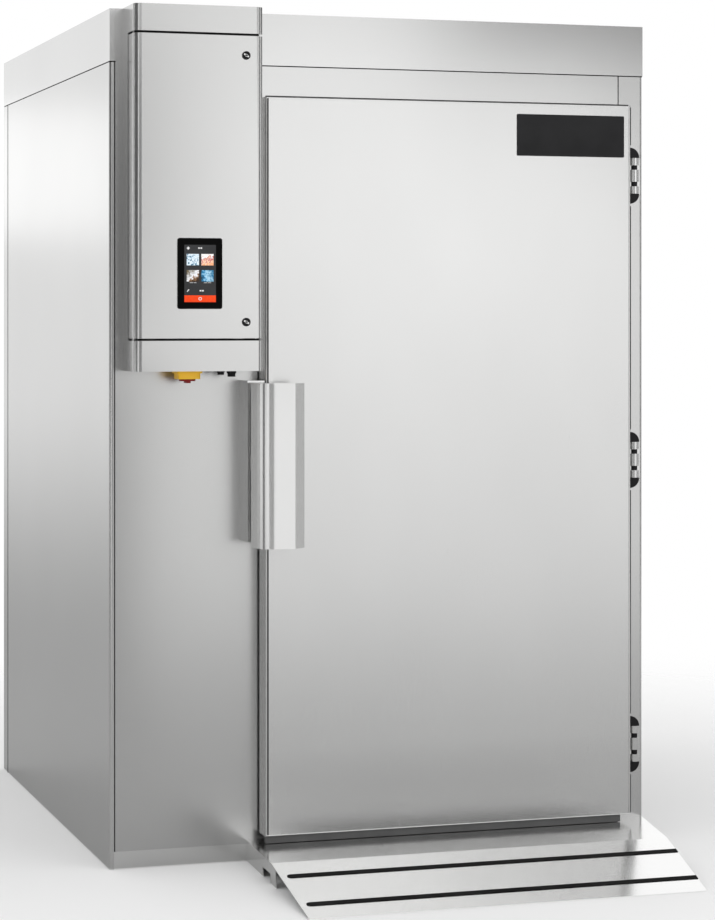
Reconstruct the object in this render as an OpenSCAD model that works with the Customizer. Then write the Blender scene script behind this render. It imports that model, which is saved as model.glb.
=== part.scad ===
// Roll-in proofing cabinet: an insulated stainless room for one dough trolley, with a right-hung door,
// a control box beside it, an air unit behind a fan baffle and a loading ramp.
// The origin is on the floor, at the middle of the cabinet's footprint. The door faces -Y.

/* [Cabinet] */
// Width of the front panel left of the door
panel_w = 402; // [380:1:460]
// Outer depth, without the ramp
cabinet_d = 1600; // [1450:10:2000]
// Thickness of the wall panels
wall_t = 72; // [64:1:80]
// Thickness of the roof panel
roof_t = 140; // [110:5:180]
// Thickness of the floor panel
floor_t = 60; // [45:1:61]
// Height of the sill under the door
sill_h = 62; // [61:1:64]
// Height of the kick strip
plinth_h = 47; // [30:1:58]
// Setback of the kick strip
plinth_set = 1; // [0.5:0.5:3]
// Radius of the bent front corners
corner_r = 10; // [4:1:11]
// Width of the side wall's lip at the front
corner_lip = 12; // [11.5:0.5:20]
// Thickness of folded sheet covers
sheet_t = 2; // [1.5:0.5:3]
// How far the fascia wraps round the sides
fascia_return = 100; // [60:5:150]
// Width and depth of the open seams between the panels
seam = [3, 6];

/* [Door] */
// Width of the door leaf
door_w = 1040; // [960:10:1140]
// Height of the door leaf
door_h = 1947; // [1850:1:2100]
// Height of the door's lower edge
door_z = 77; // [74:1:80]
// Height of the strip between the door and the fascia
header_h = 86; // [70:1:110]
// Distance from the hinged edge to the cabinet's side
hinge_margin = 68; // [64:1:80]
// How far the door's face stands out from the front
door_out = 75; // [70:1:90]
// Gap between the door and the frame, which the gasket fills
door_gap = 12; // [9:1:16]
// How far the door laps over the frame
door_lap = 40; // [36:1:50]
// Width of the door's edge frame
door_rim = 5; // [4:0.5:10]
// Shadow gap round the door skin
skin_gap = 1.5; // [1:0.5:3]
// Bend radius of the door's front edges
door_r = 4; // [2:0.5:4]
// Width of the gasket
gasket_w = 20; // [14:1:24]
// Clearance between the gasket and the frame
gasket_clear = 0.5; // [0.3:0.1:1]
// Thickness of the sweep's holder
sweep_d = 18; // [14:1:24]
// Height of the sweep
sweep_h = 19; // [12:0.5:20]
// Clearance between the sweep and the ramp
sweep_clear = 1; // [0.5:0.5:3]
// How much shorter the sweep is at the hinged end
sweep_short = 28; // [10:1:60]
// Width of the bare plate
plate_w = 313; // [250:1:360]
// Height of the bare plate
plate_h = 113; // [90:1:130]
// Distance of the bare plate from the door's edges
plate_inset = [21, 30];

/* [Hinges] */
// Distance of the outer hinges from the door's ends
hinge_inset = 192; // [120:1:300]
// Distance of the pin from the front plane
hinge_out = 58; // [54:1:66]
// Radius of the knuckles
knuckle_r = 12; // [9:0.5:13]
// Radius of the hinge pin
hinge_pin_r = 4; // [3:0.25:5]
// Thickness of the leaf plates
leaf_t = 4; // [3:0.5:5]
// Height of the middle knuckle
knuckle_mid_h = 34; // [28:1:44]
// Height of the outer knuckles
knuckle_end_h = 20; // [16:1:26]
// Height of the bushes
bush_h = 12; // [8:1:16]
// Running clearance of pins
pin_fit = 0.05; // [0.02:0.01:0.1]
// Gap between moving pieces
run_gap = 0.5; // [0.4:0.1:1]

/* [Handle] */
// Height of the lever's lower end
handle_z = 842; // [700:1:860]
// Height of the lever
handle_h = 430; // [380:1:440]
// How far the lever reaches past the door's free edge
lever_over = 48; // [46:1:54]
// Width of the lever's face
lever_face_w = 87; // [76:1:110]
// How far the face stands out from the door
lever_out = 107; // [105:1:125]
// Distance of the lever's open back from the door
lever_back = 27; // [25:1:30]
// Width and depth of the bevelled finger lip
lip_size = [34, 32];
// How far the lever's side leans towards the door
lever_lean = 12; // [6:1:14]
// How far the face tilts towards the lip
lever_tilt = 6; // [0:1:8]
// Bend radius between the lever's side and face
lever_bend = 42; // [12:1:44]
// Wall of the lever
lever_t = 4; // [3:0.5:5]
// How far the strike stands out past the door's face
strike_proud = 9; // [6:1:12]
// Width of the strike
strike_w = 46; // [42:1:50]
// Gap between the strike and the door
strike_gap = 6; // [4:0.5:9]
// Radius of the lever's pin
lever_pin_r = 4; // [3:0.25:5]

/* [Control box] */
// Distance of the box from the cabinet's left side
box_margin = 34; // [30:1:50]
// Gap between the box and the door
box_gap = 24; // [22:1:40]
// Depth of the box
box_d = 145; // [135:1:165]
// Height of the box's lower side
box_z = 1304; // [1284:1:1400]
// Radius of the box's front corners
box_r = 20; // [10:1:24]
// Width of the mounting flange
flange_w = 18; // [12:1:20]
// Height of the fixed cap at the bottom
cap_h = 79; // [60:1:100]
// Height of the fixed cap at the top
cap_top_h = 70; // [60:1:100]
// Gap round the cover
cover_gap = 6; // [3:0.5:8]
// Depth of the cover's side flanges
cover_d = 72; // [66:1:80]
// Distance of the cover's pivot from its corner
pivot_in = 12; // [11:0.5:13]
// Size of the touch display's glass
glass_size = [118, 183];
// Size of the lit screen
screen_size = [84, 148];
// Height of the glass above the cover's lower edge
glass_z = 76; // [60:1:120]
// Thickness of the glass
glass_t = 4; // [3:0.5:6]
// Radius of the lock's head
lock_r = 11; // [9:0.5:12]
// Distance of the locks from the cover's right, lower and upper edges
lock_inset = [48, 42, 51];
// Width of the switch base
switch_w = 67; // [56:1:72]
// Height of the switch base
switch_h = 21; // [16:1:26]
// Radius of the switch knob
knob_r = 21.5; // [18:0.5:24]
// Place of the switch from the box's left side and the front plane
switch_at = [155, 78];

/* [Air unit] */
// Radius of the fan openings
fan_r = 175; // [150:5:190]
// Gap between the blade tips and the opening
tip_gap = 8; // [5:1:15]
// Number of blades
blade_n = 5; // [4:1:7]
// Pitch of the blades in degrees
blade_pitch = 32; // [20:1:40]
// Thickness of the blades
blade_t = 3; // [2:0.5:5]
// Number of bars in each fan guard
guard_n = 6; // [4:1:8]
// Width and thickness of the guard bars
guard_size = [6, 5];
// How far the guard bars lap over the baffle
guard_lap = 14; // [10:1:20]
// Width of the coil
coil_w = 150; // [120:5:160]
// Number of fins drawn on the coil
fin_n = 24; // [12:1:30]
// Outer radius of the bumper tubes
bumper_r = 16; // [12:1:20]

/* [Ramp] */
// Length of the ramp
ramp_l = 700; // [600:10:900]
// Thickness of the ramp's sheet
ramp_t = 3; // [2:0.5:5]
// Distance of the ramp's rear left corner from the cabinet's left side
ramp_left = 369; // [330:1:400]
// Distance of the ramp's rear right corner from the cabinet's right side
ramp_right = 6; // [0:1:30]
// How much the right side draws in towards the front
ramp_taper = 125; // [0:5:150]
// How much the left side runs out towards the front
ramp_flare = 32; // [0:1:60]
// Length of the nearly level landing in front of the sill
land_l = 295; // [200:5:330]
// How far the landing falls
land_drop = 2; // [0:1:8]
// Length of the cheeks under the sheet
cheek_l = 345; // [250:5:450]
// Start, length and height of the notch in the left cheek
notch = [198, 88, 26];
// Width of the grip strips
grip_w = 24; // [18:1:32]
// Places of the grip strips as shares of the slope
grip_at = [0.26, 0.76];

/* [Hidden] */
$fn = 64;
eps = 1;
arc_lap = 0.01;
grip_fit = 0.02;
steel = "gainsboro";
dark = "dimgray";
black = [0.1, 0.1, 0.11];

// Cabinet
cabinet_w = panel_w + door_w + hinge_margin;
wall_top = door_z + door_h + header_h;
cabinet_h = wall_top + roof_t;
x0 = -cabinet_w / 2;
x1 = cabinet_w / 2;
y0 = -cabinet_d / 2;
y1 = cabinet_d / 2;
in_x0 = x0 + wall_t;
in_x1 = x1 - wall_t;
in_y0 = y0 + wall_t;
in_y1 = y1 - wall_t;

// Door and doorway
door_x0 = x0 + panel_w;
door_x1 = door_x0 + door_w;
door_z1 = door_z + door_h;
door_face = y0 - door_out;
door_back = y0 - door_gap;
open_x0 = door_x0 + door_lap;
open_x1 = door_x1 - door_lap;
open_z1 = door_z1 - door_lap;
header_x0 = door_x0 - 10;
skin_t = 2;
liner_inset = 12;
gasket_off = (door_lap - gasket_w) / 2;
sweep_z = door_z - sweep_h;
sweep_set = 8;

// Hinges
hinge_x = door_x1 + leaf_t + knuckle_r + 1.5;
hinge_y = y0 - hinge_out;
hinge_z = [door_z + hinge_inset, door_z + door_h / 2, door_z1 - hinge_inset];
knuckle_low = knuckle_mid_h / 2 + bush_h;
hinge_half = knuckle_low + knuckle_end_h;
cap_r = leaf_t + 1.5 + 2 * knuckle_r - 2;

// Handle
lever_x = door_x0 - lever_over;
lever_a = [lever_x, door_face - lever_back];
lever_b = [lever_x + lever_lean, door_face - lever_out + lever_tilt];
lever_c = lever_b + [lever_face_w, -lever_tilt];
lever_d = lever_c + lip_size;
lever_outline = [lever_a, lever_b, lever_c, lever_d];
lever_radii = [1.5, lever_bend, 7, 1.5];
lever_z1 = handle_z + handle_h;
lever_mid = handle_z + handle_h / 2;
lever_pin = [lever_x + lever_t + 12, door_face - lever_back - 18];
lever_knuckle_r = lever_pin_r + 4;
ear_t = 6;
ear_z = [handle_z + 60, lever_z1 - 86];
lever_knuckle_h = 20;
tongue_t = 8;
tongue_h = 30;
strike_out = door_out + strike_proud;
base_y = y0 - strike_out - 4;
base_t = 4;
base_z = handle_z + 20;
base_h = handle_h - 40;
base_foot = [door_x0 + 8, door_x0 + 44];
strike_z = [handle_z + 12, lever_z1 + 5];
pocket_h = tongue_h + 50;

// Control box
box_x0 = x0 + box_margin;
box_x1 = door_x0 - box_gap;
box_w = box_x1 - box_x0;
box_face = y0 - box_d;
box_h = cabinet_h - box_z;
cover_z0 = box_z + cap_h + cover_gap;
cover_z1 = cabinet_h - cap_top_h;
cover_h = cover_z1 - cover_gap - cover_z0;
cover_top = cover_z0 + cover_h;
cover_rear = box_face + cover_d;
side_front = cover_rear + 7;
pivot = [box_x0 + pivot_in, cover_rear - pivot_in + 1];
pivot_r = 4;
box_mid = (box_x0 + box_x1) / 2;
glass_mid = [box_mid, cover_z0 + glass_z + glass_size[1] / 2];
lock_x = box_x1 - lock_inset[0];
lock_z = [cover_z0 + lock_inset[1], cover_top - lock_inset[2]];
lock_barrel_r = lock_r - 2;
cam_y = box_face + 24;
cam_l = 30;
cam_t = 3;
keeper_y = cam_y - cam_t - 5;
keeper_x = box_x1 - sheet_t - 7;
switch_x = box_x0 + switch_at[0];
switch_y = y0 - switch_at[1];
sockets = [
  [switch_x + 91, switch_y + 4, 11, 11],
  [switch_x + 119, switch_y, 13, 16]
];
plate_y = y0 - sheet_t;
plate_t = 3;
rail_z = [cover_z0 + cover_h * 0.48, cover_z0 + cover_h * 0.78];
rail_d = 8;
rail_y = plate_y - plate_t - rail_d;

// Air unit
fan_n = 3;
baffle_x = open_x0 - 22;
baffle_y = [in_y0 + 60, in_y1 - 60];
baffle_z = [floor_t + 100, wall_top - 120];
fan_pitch = (baffle_z[1] - baffle_z[0]) / fan_n;
fan_y = (baffle_y[0] + baffle_y[1]) / 2;
fan_zs = [for (i = [0 : fan_n - 1]) baffle_z[0] + fan_pitch * (i + 0.5)];
hub_r = 45;
hub_l = 44;
hub_x = baffle_x - 18 - hub_l;
shaft_r = 6;
motor_r = 40;
motor_l = 62;
motor_x = hub_x - 4 - motor_l;
coil_x = in_x0 + 20;
coil_y = [in_y0 + 230, in_y1 - 230];
coil_z = [baffle_z[0] + 190, baffle_z[1] - 190];
tray_z = [baffle_z[0] + 70, baffle_z[0] + 130];
tray_y = [coil_y[0] - 40, coil_y[1] + 40];
tray_x1 = coil_x + coil_w + 40;
drain_r = 14;
drain_at = [in_x0 + 60, tray_y[1] - 40];
drain_bend = 40;
strainer_r = 1.7;
strainer_off = 6.5;
drain_z = floor_t + 30;
pipe_rs = [8, 11];
pipe_gap = 44;
steam_r = 12;
bumper_off = 50;
bumper_zs = [floor_t + 190, floor_t + 840];
bumper_near = 80;
bumper_far = 160;
bumper_side = [in_y0 + bumper_near, in_y1 - bumper_far];
bumper_back = [baffle_x + bumper_far, in_x1 - bumper_far];
pipe_drop = 120;
pipe_z = coil_z[1] - pipe_drop;
heater_ends = [80, 160];
heater_off = 40;
heater_z = [coil_z[0] + heater_ends[0], coil_z[1] - heater_ends[1]];
heater_y = fan_y + fan_r + heater_off;

// Ramp
ramp_h = sweep_z - sweep_clear;
ramp_x0 = x0 + ramp_left;
ramp_x1 = x1 - ramp_right;
ramp_tip = 3;
land_z = ramp_h - land_drop;
slope_l = ramp_l - land_l;

// Box between two opposite corners
module span(a, b) {
  translate(a) cube(b - a);
}

function unit(v) = v / norm(v);

// Where a corner's round begins, where it ends, and its centre
function corner(p, i, r) =
  let (n = len(p))
  let (a = unit(p[(i + n - 1) % n] - p[i]))
  let (b = unit(p[(i + 1) % n] - p[i]))
  let (half = acos(a * b) / 2)
  [p[i] + a * r / tan(half), p[i] + b * r / tan(half), p[i] + unit(a + b) * r / sin(half)];

// Convex outline with a true arc at every corner; the arcs cross the straight sides by a hair
module rounded_outline(p, r) {
  corners = [for (i = [0 : len(p) - 1]) corner(p, i, r[i])];
  polygon([for (c = corners) each [c[0], c[1]]]);
  for (i = [0 : len(p) - 1])
    translate(corners[i][2])
      circle(r[i] + arc_lap);
}

// Inner corner of a wall of even thickness
function inset_corner(p, i, t) =
  let (a = unit(p[i - 1] - p[i]))
  let (b = unit(p[i + 1] - p[i]))
  p[i] + (a + b) * t / abs(cross(a, b));

module rounded_rect(size, r) {
  w = size[0] / 2;
  h = size[1] / 2;
  rounded_outline([[-w, -h], [w, -h], [w, h], [-w, h]], [r, r, r, r]);
}

// Upright plate in the XZ plane, its front face at y
module upright_plate(x, y, z, size, r, t) {
  translate([x, y + t, z])
    rotate([90, 0, 0])
      linear_extrude(t)
        rounded_rect(size, r);
}

// Shell

module floor_panel() {
  color(steel) span([in_x0, in_y0, 0], [in_x1, in_y1, floor_t]);
}

// Plan of a side wall with its bent front corner at the left
module side_plan() {
  translate([0, corner_r]) square([wall_t, cabinet_d - wall_t - corner_r]);
  translate([corner_r, 0]) square([wall_t - corner_r, corner_r]);
  translate([corner_r, corner_r]) circle(corner_r);
}

module left_wall() {
  color(steel)
    linear_extrude(wall_top)
      difference() {
        translate([x0, y0]) side_plan();
        translate([x0 + corner_lip, y0 - eps]) square([wall_t, wall_t + eps]);
      }
}

module right_wall() {
  color(steel)
    linear_extrude(wall_top)
      translate([x1, y0])
        mirror([1, 0])
          side_plan();
}

module rear_wall() {
  color(steel)
    difference() {
      span([x0, in_y1, 0], [x1, y1, wall_top]);
      translate([drain_at[0], in_y1 - eps, drain_z])
        rotate([-90, 0, 0])
          cylinder(r = drain_r + run_gap, h = wall_t + 2 * eps);
    }
}

module roof_panel() {
  color(steel)
    difference() {
      translate([0, 0, wall_top])
        linear_extrude(roof_t)
          difference() {
            translate([x0, y0]) square([cabinet_w, cabinet_d]);
            fascia_plan();
          }
      translate([0, 0, wall_top - eps])
        linear_extrude(seam[0] + eps)
          difference() {
            translate([x0 - eps, y0 - eps]) square([cabinet_w + 2 * eps, cabinet_d + 2 * eps]);
            translate([x0 + seam[1], y0 + seam[1]])
              square([cabinet_w - 2 * seam[1], cabinet_d - 2 * seam[1]]);
          }
      for (i = [0, 1])
        translate(concat(pipe_place(i), wall_top - eps))
          cylinder(r = pipe_rs[i] + run_gap, h = roof_t + 2 * eps);
    }
}

// Plan of the fascia and of the room it takes
module fascia_plan() {
  difference() {
    translate([x0 - eps, y0 - eps]) square([cabinet_w + 2 * eps, fascia_return + eps]);
    translate([x0 + sheet_t, y0 + sheet_t]) square([cabinet_w - 2 * sheet_t, fascia_return]);
  }
}

module fascia() {
  color(steel)
    translate([0, 0, wall_top + seam[0]])
      linear_extrude(roof_t - seam[0])
        intersection() {
          fascia_plan();
          translate([x0, y0]) square([cabinet_w, fascia_return]);
        }
}

module front_left_panel() {
  color(steel)
    difference() {
      span([x0 + corner_lip, y0, plinth_h], [open_x0, in_y0, wall_top]);
      span([header_x0, y0 - eps, open_z1], [open_x0 + eps, in_y0 + eps, wall_top + eps]);
      span(
        [x0 + corner_lip - eps, y0 - eps, plinth_h - eps],
        [x0 + corner_lip + seam[0], y0 + seam[1], wall_top + eps]
      );
    }
}

module kick_strip() {
  color(steel) span([x0 + corner_lip, y0 + plinth_set, 0], [open_x0, in_y0, plinth_h]);
}

module header_panel() {
  color(steel)
    difference() {
      span([header_x0, y0, open_z1], [in_x1, in_y0, wall_top]);
      span([in_x1 - seam[0], y0 - eps, open_z1 - eps], [in_x1 + eps, y0 + seam[1], wall_top + eps]);
    }
}

module right_jamb() {
  color(steel) span([open_x1, y0, sill_h], [in_x1, in_y0, open_z1]);
}

module sill() {
  color(steel) span([open_x0, y0, 0], [in_x1, in_y0, sill_h]);
}

// Ramp

// Side profile of the folded sheet, with y towards the sill
module ramp_side(t) {
  polygon([
    [0, ramp_h],
    [0, ramp_h - t],
    [-land_l, land_z - t],
    [-ramp_l + t, 0],
    [-ramp_l, 0],
    [-ramp_l, ramp_tip],
    [-land_l, land_z]
  ]);
}

// Side view extruded across the whole front
module across(profile_x0, profile_x1) {
  translate([profile_x0, y0, 0])
    rotate([90, 0, 90])
      linear_extrude(profile_x1 - profile_x0)
        children();
}

module ramp_plan(inset) {
  polygon([
    [ramp_x0 + inset, y0],
    [ramp_x0 + inset, y0 + eps],
    [ramp_x1 - inset, y0 + eps],
    [ramp_x1 - inset, y0],
    [ramp_x1 - ramp_taper - inset, y0 - ramp_l - eps],
    [ramp_x0 - ramp_flare + inset, y0 - ramp_l - eps]
  ]);
}

// Side view of what stands under the sheet, as far out as its reach
module under_ramp(reach) {
  intersection() {
    polygon([[0, 0], [0, ramp_h - ramp_t], [-land_l, land_z - ramp_t], [-ramp_l + ramp_t, 0]]);
    translate([-reach, 0]) square([reach, ramp_h]);
  }
}

module ramp_plate() {
  color(steel) {
    intersection() {
      across(ramp_x0 - ramp_flare, ramp_x1) ramp_side(ramp_t);
      translate([0, 0, -eps]) linear_extrude(ramp_h + 2 * eps) ramp_plan(0);
    }
    intersection() {
      across(ramp_x0 - ramp_flare, ramp_x1) under_ramp(cheek_l);
      difference() {
        translate([0, 0, -eps])
          linear_extrude(ramp_h)
            difference() {
              ramp_plan(0);
              ramp_plan(ramp_t);
            }
        span(
          [ramp_x0 - ramp_flare - eps, y0 - notch[0] - notch[1], -2 * eps],
          [ramp_x0 + ramp_t + eps, y0 - notch[0], notch[2]]
        );
      }
    }
  }
}

module ramp_ribs() {
  rib_w = 40;
  rib_at = [0.04, 0.28, 0.52, 0.76];
  rib_l = ramp_l * 0.6;
  color(steel)
    for (f = rib_at)
      translate([(ramp_x1 - ramp_x0) * f - rib_w / 2, 0, 0])
        across(ramp_x0, ramp_x0 + rib_w)
          under_ramp(rib_l);
}

// Grip strips lie on the slope: rounded at the left, run out to the edge at the right
module ramp_grips() {
  slope = atan((land_z - ramp_tip) / slope_l);
  rise = 1.5;
  start = 17;
  color(black)
    intersection() {
      for (f = grip_at)
        translate([
          ramp_x0 + start - ramp_flare * (land_l + f * slope_l) / ramp_l,
          y0 - land_l - f * slope_l,
          land_z - f * (land_z - ramp_tip) + grip_fit
        ])
          rotate([slope, 0, 0])
            linear_extrude(rise) {
              translate([grip_w / 2, 0]) circle(grip_w / 2);
              translate([grip_w / 2, -grip_w / 2]) square([cabinet_w, grip_w]);
            }
      translate([0, 0, -eps]) linear_extrude(ramp_h + 2 * eps) ramp_plan(0);
    }
}

// Door

// Section of the leaf with its two bent front edges, for a width or a height
module leaf_section(w) {
  d = door_back - door_face;
  translate([0, door_r]) square([w, d - door_r]);
  translate([door_r, 0]) square([w - 2 * door_r, door_r]);
  for (x = [door_r, w - door_r])
    translate([x, door_r])
      circle(door_r);
}

module door_leaf() {
  color(steel)
    difference() {
      translate([door_x0, door_face, door_z])
        intersection() {
          linear_extrude(door_h) leaf_section(door_w);
          translate([0, 0, door_h])
            rotate([0, 90, 0])
              linear_extrude(door_w)
                leaf_section(door_h);
        }
      span(
        [door_x0 + door_rim, door_face - eps, door_z + door_rim],
        [door_x1 - door_rim, door_face + skin_t, door_z1 - door_rim]
      );
    }
}

module door_skin() {
  inset = door_rim + skin_gap;
  color(steel)
    span(
      [door_x0 + inset, door_face, door_z + inset],
      [door_x1 - inset, door_face + skin_t, door_z1 - inset]
    );
}

module door_liner() {
  w = open_x1 - open_x0 - 2 * liner_inset;
  h = open_z1 - door_z - 3 * liner_inset;
  color(steel)
    upright_plate(
      (open_x0 + open_x1) / 2, door_back, door_z + 2 * liner_inset + h / 2,
      [w, h], 20, door_gap - 2
    );
}

module door_gasket() {
  inner = gasket_off + gasket_w;
  color(black)
    difference() {
      span(
        [door_x0 + gasket_off, door_back, door_z],
        [door_x1 - gasket_off, y0 - gasket_clear, door_z1 - gasket_off]
      );
      span(
        [door_x0 + inner, door_back - eps, door_z - eps],
        [door_x1 - inner, y0, door_z1 - inner]
      );
    }
}

module door_sweep() {
  lip = 3;
  holder_h = 7;
  color(black)
    translate([0, door_face + sweep_set, door_z])
      for (box = [
        [[0, -holder_h], [sweep_d, 0]],
        [[0, -sweep_h], [lip, -holder_h]],
        [[sweep_d - lip, -sweep_h], [sweep_d, -holder_h]]
      ])
        span(
          [door_x0 + 2, box[0][0], box[0][1]],
          [door_x1 - sweep_short, box[1][0], box[1][1]]
        );
}

module door_plate() {
  color(dark)
    upright_plate(
      door_x1 - plate_inset[0] - plate_w / 2, door_face - 3, door_z1 - plate_inset[1] - plate_h / 2,
      [plate_w, plate_h], 3, 3
    );
}

// Hinges

module at_hinge(i) {
  translate([hinge_x, hinge_y, hinge_z[i]]) children();
}

module ring(r, bore, h) {
  difference() {
    cylinder(r = r, h = h);
    translate([0, 0, -eps]) cylinder(r = bore, h = h + 2 * eps);
  }
}

// Foot on the jamb, with an arm out to each outer knuckle
module hinge_frame_leaf(i) {
  bore = hinge_pin_r + pin_fit;
  arm = knuckle_r - 3;
  color(steel)
    at_hinge(i)
      difference() {
        union() {
          span([-arm, hinge_out - leaf_t, -hinge_half], [x1 - hinge_x - corner_r, hinge_out, hinge_half]);
          for (z = [knuckle_low, -hinge_half]) {
            translate([0, 0, z]) cylinder(r = knuckle_r, h = knuckle_end_h);
            span([-arm, 0, z], [arm, hinge_out, z + knuckle_end_h]);
          }
        }
        translate([0, 0, -hinge_half - eps]) cylinder(r = bore, h = 2 * hinge_half + 2 * eps);
      }
}

// Plate on the door's edge, with the middle knuckle
module hinge_door_leaf(i) {
  bore = hinge_pin_r + pin_fit;
  edge = door_x1 - hinge_x;
  z = knuckle_mid_h / 2 - run_gap;
  color(steel)
    at_hinge(i)
      difference() {
        union() {
          span([edge, 2, -hinge_half], [edge + leaf_t, hinge_out - door_gap - 4, hinge_half]);
          span([edge, 0, -z], [0, 8, z]);
          translate([0, 0, -z]) cylinder(r = knuckle_r, h = 2 * z);
        }
        translate([0, 0, -z - eps]) cylinder(r = bore, h = 2 * z + 2 * eps);
      }
}

module hinge_pins() {
  color(steel)
    for (i = [0 : 2])
      at_hinge(i)
        translate([0, 0, -hinge_half])
          cylinder(r = hinge_pin_r, h = 2 * hinge_half);
}

// Quarter-round end caps on the door's edge, and the bushes between the knuckles
module hinge_caps() {
  edge = door_x1 - hinge_x;
  bore = hinge_pin_r + pin_fit;
  color(black)
    for (i = [0 : 2])
      at_hinge(i)
        for (side = [0, 1])
          mirror([0, 0, side]) {
            translate([edge, 10, hinge_half + run_gap])
              rotate([90, 0, 0])
                linear_extrude(22)
                  intersection() {
                    circle(cap_r);
                    square(cap_r);
                  }
            translate([0, 0, knuckle_mid_h / 2 - run_gap])
              ring(knuckle_r - 3.5, bore, bush_h);
          }
}

// Handle

// Channel section: left wall, face and finger lip, open at the back
module lever_section() {
  reach = 200;
  inner_b = inset_corner(lever_outline, 1, lever_t);
  inner_c = inset_corner(lever_outline, 2, lever_t);
  difference() {
    rounded_outline(lever_outline, lever_radii);
    rounded_outline(
      [
        inner_b + unit(lever_a - lever_b) * reach,
        inner_b,
        inner_c,
        inner_c + unit(lever_d - lever_c) * reach
      ],
      [1, lever_radii[1] - lever_t, lever_radii[2] - lever_t, 1]
    );
  }
}

module handle_lever() {
  end_t = 3;
  pin = lever_pin;
  wall = lever_x + lever_t / 2 + lever_lean / 4;
  knuckles = [for (z = ear_z) [z + ear_t + run_gap, lever_knuckle_h]];
  stations = concat(knuckles, [[lever_mid - tongue_h / 2, tongue_h]]);
  tongue_y = y0 - strike_out + 18;
  color(steel)
    difference() {
      union() {
        translate([0, 0, handle_z]) linear_extrude(handle_h) lever_section();
        for (z = [handle_z, lever_z1 - end_t])
          translate([0, 0, z])
            linear_extrude(end_t)
              rounded_outline(lever_outline, lever_radii);
        for (s = stations) {
          translate([pin[0], pin[1], s[0]]) cylinder(r = lever_knuckle_r, h = s[1]);
          span([wall, pin[1] - 6, s[0]], [pin[0], pin[1] + 6, s[0] + s[1]]);
        }
        span(
          [pin[0] - tongue_t / 2, pin[1], lever_mid - tongue_h / 2],
          [pin[0] + tongue_t / 2, tongue_y, lever_mid + tongue_h / 2]
        );
      }
      translate([pin[0], pin[1], handle_z + end_t])
        cylinder(r = lever_pin_r + pin_fit, h = handle_h - 2 * end_t);
    }
}

// Plate across the door's free edge, with two ears for the pin and a window for the tongue
module handle_base() {
  pin = lever_pin;
  foot = base_foot;
  color(steel)
    difference() {
      union() {
        span([pin[0] - 12, base_y - base_t, base_z], [foot[1], base_y, base_z + base_h]);
        span([foot[0], base_y, base_z], [foot[1], door_face, base_z + base_h]);
        for (z = ear_z) {
          span([pin[0] - 2, pin[1], z], [pin[0] + lever_knuckle_r, base_y - base_t, z + ear_t]);
          translate([pin[0], pin[1], z]) cylinder(r = lever_knuckle_r, h = ear_t);
        }
      }
      translate([pin[0], pin[1], base_z - eps])
        cylinder(r = lever_pin_r + pin_fit, h = base_h + 2 * eps);
      span(
        [pin[0] - tongue_t, base_y - base_t - eps, lever_mid - tongue_h / 2 - 5],
        [pin[0] + tongue_t / 2 + 20, base_y + eps, lever_mid + tongue_h / 2 + 5]
      );
    }
}

module handle_pin() {
  z0 = ear_z[0];
  z1 = ear_z[1] + ear_t + lever_knuckle_h;
  color(steel)
    translate([lever_pin[0], lever_pin[1], z0])
      cylinder(r = lever_pin_r, h = z1 - z0);
}

// Strike block with a pocket that is open to the front and towards the door
module strike() {
  x = door_x0 - strike_gap - strike_w;
  wall = 7;
  color(steel)
    difference() {
      span([x, y0 - strike_out, strike_z[0]], [x + strike_w, y0, strike_z[1]]);
      span(
        [x + wall, y0 - strike_out - eps, lever_mid - pocket_h / 2],
        [x + strike_w + eps, y0 - strike_out + 40, lever_mid + pocket_h / 2]
      );
    }
}

// Control box

// Plan of the box, drawn in by t on every side but the back
module box_plan(t) {
  r = box_r - t;
  translate([box_x0 + t, box_face + box_r]) square([box_w - 2 * t, box_d - box_r]);
  translate([box_x0 + box_r, box_face + t]) square([box_w - 2 * box_r, box_r]);
  for (x = [box_x0 + box_r, box_x1 - box_r])
    translate([x, box_face + box_r])
      circle(r);
}

// Part of the plan in front of a line
module box_front_plan(t, rear) {
  intersection() {
    box_plan(t);
    translate([box_x0 - eps, box_face - eps]) square([box_w + 2 * eps, rear - box_face + eps]);
  }
}

// Welded body: back with flanges, side walls, the two fixed caps and the keepers of the locks
module box_housing() {
  keeper_w = 23;
  keeper_h = 40;
  color(steel) {
    difference() {
      union() {
        translate([0, 0, box_z]) linear_extrude(box_h) box_plan(0);
        span([box_x0 - flange_w, y0 - sheet_t, box_z], [box_x1 + flange_w, y0, cabinet_h]);
      }
      translate([0, 0, box_z + sheet_t])
        linear_extrude(box_h - 2 * sheet_t)
          box_front_plan(sheet_t, y0 - sheet_t);
      span(
        [box_x0 - eps, box_face - eps, box_z + cap_h],
        [box_x1 + eps, side_front, cover_z1]
      );
      socket_holes();
    }
    for (z = [box_z + cap_h - sheet_t, cover_z1])
      translate([0, 0, z])
        linear_extrude(sheet_t)
          box_front_plan(0, side_front);
    for (z = lock_z)
      translate([keeper_x, 0, z - keeper_h / 2]) {
        span([0, side_front, 0], [box_x1 - keeper_x, side_front + 10, keeper_h]);
        span([0, keeper_y, 0], [sheet_t, side_front, keeper_h]);
        span([-keeper_w, keeper_y, 0], [sheet_t, keeper_y + sheet_t, keeper_h]);
      }
  }
}

module socket_holes() {
  for (s = sockets)
    translate([s[0], s[1], box_z - eps])
      cylinder(r = s[2] * 0.6, h = sheet_t + 2 * eps);
}

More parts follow.
